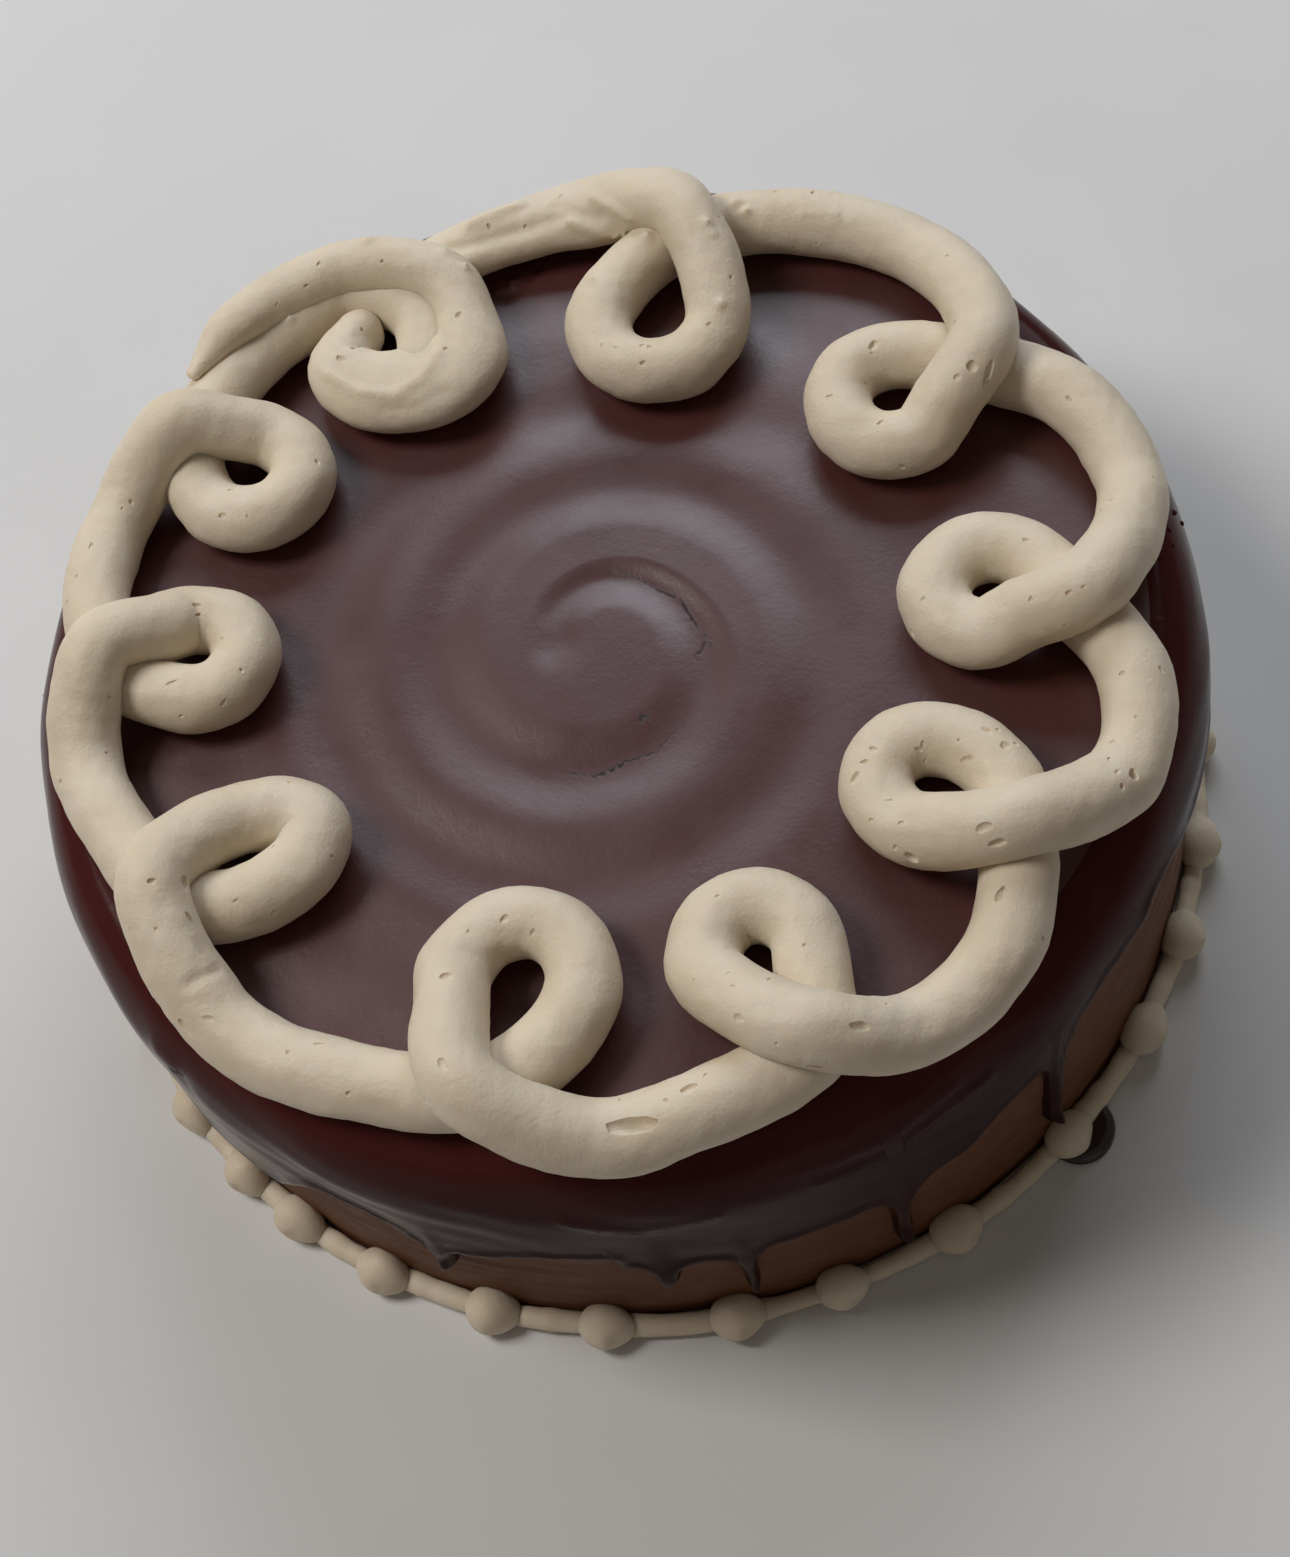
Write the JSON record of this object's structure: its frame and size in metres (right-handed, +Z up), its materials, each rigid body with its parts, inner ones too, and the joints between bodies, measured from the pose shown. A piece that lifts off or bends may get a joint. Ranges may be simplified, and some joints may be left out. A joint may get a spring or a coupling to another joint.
{
  "type": "chocolate cake",
  "caption": "Round layer cake with a chocolate buttercream side, poured dark ganache that drips over the edge, a piped scroll of ivory loops on top and a beaded foot line.",
  "frame": {"origin": "middle of the foot of the cake, on the surface it stands on", "axes": "+Z up through the middle of the cake; -Y towards the side that the picture looks from"},
  "size_m": [0.2214, 0.221, 0.0879],
  "materials": {
    "chocolate_buttercream": "matte, smoothed with a scraper",
    "dark_ganache": "satin, softly reflecting, with a fine skin",
    "ivory_buttercream": "matte to satin, with small air holes"
  },
  "bodies": {
    "root": {"cake_body": "chocolate_buttercream", "ganache_glaze": "dark_ganache", "scroll_rope": "ivory_buttercream", "base_border": "ivory_buttercream", "ganache_pool": "dark_ganache"}
  },
  "joints": []
}
